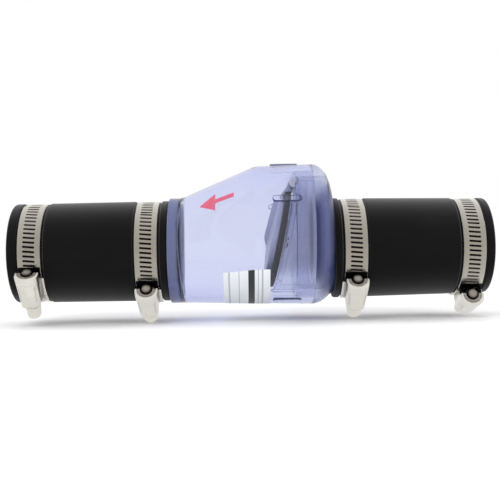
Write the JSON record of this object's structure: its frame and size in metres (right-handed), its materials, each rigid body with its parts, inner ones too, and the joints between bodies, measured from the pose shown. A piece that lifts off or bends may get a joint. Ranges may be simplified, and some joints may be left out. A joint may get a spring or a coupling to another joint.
{
  "type": "swing check valve",
  "caption": "Clear plastic swing check valve with a spring-closed flapper on a slanted seat, between rubber sleeves held by worm-drive clamps.",
  "frame": {"origin": "centre of the inlet sleeve's mouth, on the pipe's axis", "axes": "+X along the pipe in the direction of flow, +Z towards the hinge and the bulge of the chamber, +Y towards the side that shows the tips of the clamp screws"},
  "size_m": [0.275, 0.0826, 0.0922],
  "materials": {
    "clear_plastic": "clear rigid plastic with a faint violet tint, glossy",
    "insert_plastic": "clear rigid plastic, bluer where it is thick, glossy",
    "plate_plastic": "smoke grey moulded plastic, satin",
    "rubber": "moulded black rubber, satin",
    "band_steel": "rolled stainless strip, satin",
    "housing_steel": "pressed stainless sheet, bright satin",
    "screw_steel": "machined steel, bright"
  },
  "bodies": {
    "valve": {"inlet_sleeve": "rubber", "outlet_sleeve": "rubber", "body_shell": "clear_plastic", "outlet_stub": "clear_plastic", "inlet_hub": "clear_plastic", "inlet_stub": "clear_plastic", "seat_insert": "insert_plastic", "hinge_pin": "screw_steel", "pin_clip": "screw_steel", "closing_spring": "screw_steel", "band_inlet_mouth": "band_steel", "band_inlet_body": "band_steel", "band_outlet_body": "band_steel", "band_outlet_mouth": "band_steel", "housing_inlet_mouth": "housing_steel", "housing_inlet_body": "housing_steel", "housing_outlet_body": "housing_steel", "housing_outlet_mouth": "housing_steel"},
    "flapper": {"flapper_plate": "plate_plastic", "flapper_facing": "rubber", "facing_washer": "screw_steel", "facing_screw": "screw_steel"},
    "inlet_mouth_screw": {"screw_inlet_mouth": "screw_steel"},
    "inlet_body_screw": {"screw_inlet_body": "screw_steel"},
    "outlet_body_screw": {"screw_outlet_body": "screw_steel"},
    "outlet_mouth_screw": {"screw_outlet_mouth": "screw_steel"}
  },
  "joints": [
    {"name": "flapper_swing", "type": "hinge", "parent": "valve", "child": "flapper", "pos_m": [0.11241, 0, 0.03796], "axis": [0, -1, 0], "range_deg": [0, 50], "stiffness_Nm_per_rad": 0.02, "springref_deg": -28.65, "deforming": ["closing_spring"]},
    {"name": "inlet_mouth_screw_turn", "type": "hinge", "parent": "valve", "child": "inlet_mouth_screw", "pos_m": [0.0118, 0.01098, -0.031], "axis": [0, 0.9426, 0.3338], "continuous": true},
    {"name": "inlet_body_screw_turn", "type": "hinge", "parent": "valve", "child": "inlet_body_screw", "pos_m": [0.0786, 0.02313, -0.02481], "axis": [0, 0.7314, 0.682], "continuous": true},
    {"name": "outlet_body_screw_turn", "type": "hinge", "parent": "valve", "child": "outlet_body_screw", "pos_m": [0.197, 0.02025, -0.02737], "axis": [0, 0.8039, 0.5948], "continuous": true},
    {"name": "outlet_mouth_screw_turn", "type": "hinge", "parent": "valve", "child": "outlet_mouth_screw", "pos_m": [0.2622, 0.02765, -0.01936], "axis": [0, 0.5736, 0.8192], "continuous": true}
  ]
}
